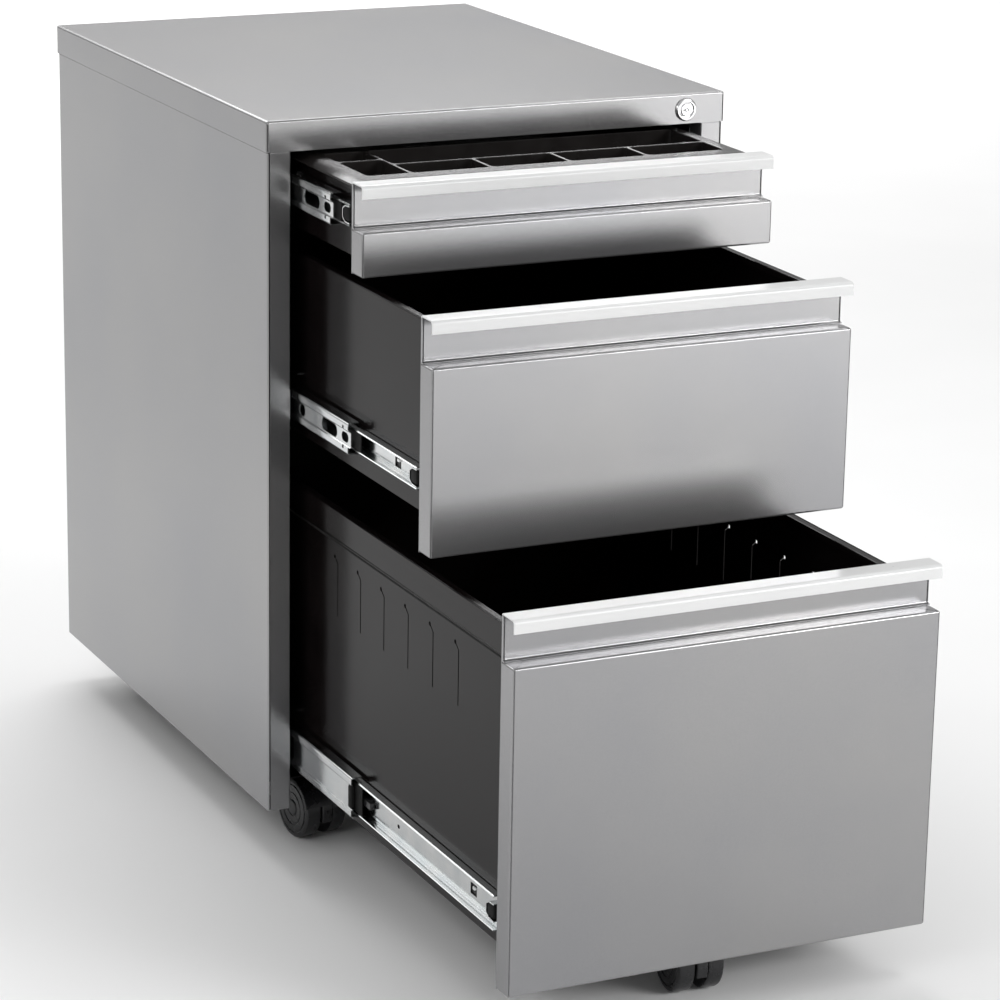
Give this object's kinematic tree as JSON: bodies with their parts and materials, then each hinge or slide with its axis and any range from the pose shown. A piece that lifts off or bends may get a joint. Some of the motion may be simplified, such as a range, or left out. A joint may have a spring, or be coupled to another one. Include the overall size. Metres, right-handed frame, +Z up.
{
  "type": "mobile filing pedestal",
  "caption": "Steel mobile storage pedestal with stacked telescopic drawers, hooked edge handles, a corner lock with a locking bar, a pencil tray and hooded twin-wheel casters.",
  "frame": {"origin": "centre of the bounding box of the drawn pose, on the floor under the casters; the drawers stand part-way out in that pose", "axes": "+Z up, -Y the way the drawers open, +X to the right of a person who faces the drawer fronts"},
  "size_m": [0.39, 0.8816, 0.595],
  "materials": {
    "silver_paint": "fine metallic powder coat, satin",
    "handle_grey": "light grey satin enamel",
    "black_paint": "black satin powder coat",
    "zinc_steel": "bright zinc plate",
    "black_plastic": "moulded, satin",
    "tray_plastic": "moulded, fine grain",
    "lock_chrome": "polished",
    "bar_steel": "zinc plate"
  },
  "bodies": {
    "cabinet": {"top_cover": "silver_paint", "left_side_panel": "silver_paint", "right_side_panel": "silver_paint", "back_panel": "silver_paint", "base_pan": "black_paint", "left_uprights": "black_paint", "right_uprights": "black_paint", "drawer_1_outer_slides": "zinc_steel", "drawer_2_outer_slides": "zinc_steel", "drawer_3_outer_slides": "zinc_steel", "lock_housing": "lock_chrome", "lock_bar_guides": "bar_steel"},
    "lock_core": {"lock_plug": "lock_chrome", "lock_cam": "bar_steel"},
    "lock_rod": {"lock_bar": "bar_steel"},
    "middle_slides_1": {"drawer_1_middle_slides": "zinc_steel"},
    "drawer_1": {"drawer_1_handle": "handle_grey", "drawer_1_front_plate": "silver_paint", "drawer_1_front_pan": "silver_paint", "drawer_1_left_wall": "black_paint", "drawer_1_right_wall": "black_paint", "drawer_1_floor": "black_paint", "drawer_1_back": "black_paint", "drawer_1_inner_slides": "zinc_steel", "pencil_tray": "tray_plastic"},
    "release_levers_1": {"drawer_1_release_levers": "black_plastic"},
    "middle_slides_2": {"drawer_2_middle_slides": "zinc_steel"},
    "drawer_2": {"drawer_2_handle": "handle_grey", "drawer_2_front_plate": "silver_paint", "drawer_2_front_pan": "silver_paint", "drawer_2_left_wall": "black_paint", "drawer_2_right_wall": "black_paint", "drawer_2_floor": "black_paint", "drawer_2_back": "black_paint", "drawer_2_inner_slides": "zinc_steel"},
    "release_levers_2": {"drawer_2_release_levers": "black_plastic"},
    "middle_slides_3": {"drawer_3_middle_slides": "zinc_steel"},
    "drawer_3": {"drawer_3_handle": "handle_grey", "drawer_3_front_plate": "silver_paint", "drawer_3_front_pan": "silver_paint", "drawer_3_left_wall": "black_paint", "drawer_3_right_wall": "black_paint", "drawer_3_floor": "black_paint", "drawer_3_back": "black_paint", "drawer_3_inner_slides": "zinc_steel", "fifth_caster_bracket": "black_paint"},
    "release_levers_3": {"drawer_3_release_levers": "black_plastic"},
    "swivel_front_left": {"caster_front_left_housing": "black_plastic"},
    "wheels_front_left": {"caster_front_left_wheels": "black_plastic"},
    "swivel_front_right": {"caster_front_right_housing": "black_plastic"},
    "wheels_front_right": {"caster_front_right_wheels": "black_plastic"},
    "swivel_rear_left": {"caster_rear_left_housing": "black_plastic"},
    "wheels_rear_left": {"caster_rear_left_wheels": "black_plastic"},
    "swivel_rear_right": {"caster_rear_right_housing": "black_plastic"},
    "wheels_rear_right": {"caster_rear_right_wheels": "black_plastic"},
    "swivel_fifth": {"caster_fifth_housing": "black_plastic"},
    "wheels_fifth": {"caster_fifth_wheels": "black_plastic"}
  },
  "joints": [
    {"name": "lock_turn", "type": "hinge", "parent": "cabinet", "child": "lock_core", "pos_m": [0.1605, -0.04925, 0.5823], "axis": [0, -1, 0], "range_deg": [0, 90]},
    {"name": "lock_bar_lift", "type": "slide", "parent": "cabinet", "child": "lock_rod", "axis": [0, 0, 1], "range_m": [0, 0.01556]},
    {"name": "middle_slide_1", "type": "slide", "parent": "cabinet", "child": "middle_slides_1", "axis": [0, -1, 0], "range_m": [-0.102, 0.098]},
    {"name": "drawer_slide_1", "type": "slide", "parent": "middle_slides_1", "child": "drawer_1", "axis": [0, -1, 0], "range_m": [-0.0235, 0.2265]},
    {"name": "release_lever_1", "type": "hinge", "parent": "drawer_1", "child": "release_levers_1", "pos_m": [0, 0.11575, 0.5395], "axis": [-1, 0, 0], "range_deg": [0, 5]},
    {"name": "middle_slide_2", "type": "slide", "parent": "cabinet", "child": "middle_slides_2", "axis": [0, -1, 0], "range_m": [-0.1375, 0.0625]},
    {"name": "drawer_slide_2", "type": "slide", "parent": "middle_slides_2", "child": "drawer_2", "axis": [0, -1, 0], "range_m": [-0.1135, 0.1365]},
    {"name": "release_lever_2", "type": "hinge", "parent": "drawer_2", "child": "release_levers_2", "pos_m": [0, -0.00975, 0.372], "axis": [-1, 0, 0], "range_deg": [0, 5]},
    {"name": "middle_slide_3", "type": "slide", "parent": "cabinet", "child": "middle_slides_3", "axis": [0, -1, 0], "range_m": [-0.144, 0.056]},
    {"name": "drawer_slide_3", "type": "slide", "parent": "middle_slides_3", "child": "drawer_3", "axis": [0, -1, 0], "range_m": [-0.2475, 0.0025]},
    {"name": "release_lever_3", "type": "hinge", "parent": "drawer_3", "child": "release_levers_3", "pos_m": [0, -0.15025, 0.0905], "axis": [-1, 0, 0], "range_deg": [0, 5]},
    {"name": "swivel_front_left", "type": "hinge", "parent": "cabinet", "child": "swivel_front_left", "pos_m": [-0.14, 0.01175, 0.058], "axis": [0, 0, 1], "continuous": true},
    {"name": "roll_front_left", "type": "hinge", "parent": "swivel_front_left", "child": "wheels_front_left", "pos_m": [-0.13805, -0.00211, 0.025], "axis": [0.9903, 0.1392, 0], "continuous": true},
    {"name": "swivel_front_right", "type": "hinge", "parent": "cabinet", "child": "swivel_front_right", "pos_m": [0.14, 0.01175, 0.058], "axis": [0, 0, 1], "continuous": true},
    {"name": "roll_front_right", "type": "hinge", "parent": "swivel_front_right", "child": "wheels_front_right", "pos_m": [0.13709, -0.00194, 0.025], "axis": [0.9781, -0.2079, 0], "continuous": true},
    {"name": "swivel_rear_left", "type": "hinge", "parent": "cabinet", "child": "swivel_rear_left", "pos_m": [-0.14, 0.37875, 0.058], "axis": [0, 0, 1], "continuous": true},
    {"name": "roll_rear_left", "type": "hinge", "parent": "swivel_rear_left", "child": "wheels_rear_left", "pos_m": [-0.13431, 0.36596, 0.025], "axis": [0.9135, 0.4067, 0], "continuous": true},
    {"name": "swivel_rear_right", "type": "hinge", "parent": "cabinet", "child": "swivel_rear_right", "pos_m": [0.14, 0.37875, 0.058], "axis": [0, 0, 1], "continuous": true},
    {"name": "roll_rear_right", "type": "hinge", "parent": "swivel_rear_right", "child": "wheels_rear_right", "pos_m": [0.13567, 0.36544, 0.025], "axis": [0.9511, -0.309, 0], "continuous": true},
    {"name": "swivel_fifth", "type": "hinge", "parent": "drawer_3", "child": "swivel_fifth", "pos_m": [0, -0.37925, 0.058], "axis": [0, 0, 1], "continuous": true},
    {"name": "roll_fifth", "type": "hinge", "parent": "swivel_fifth", "child": "wheels_fifth", "pos_m": [-0.00098, -0.39322, 0.025], "axis": [0.9976, -0.0698, 0], "continuous": true}
  ],
  "couplings": [
    {"joint": "lock_turn", "follows": "lock_bar_lift", "rad_per_m": 100.95}
  ]
}
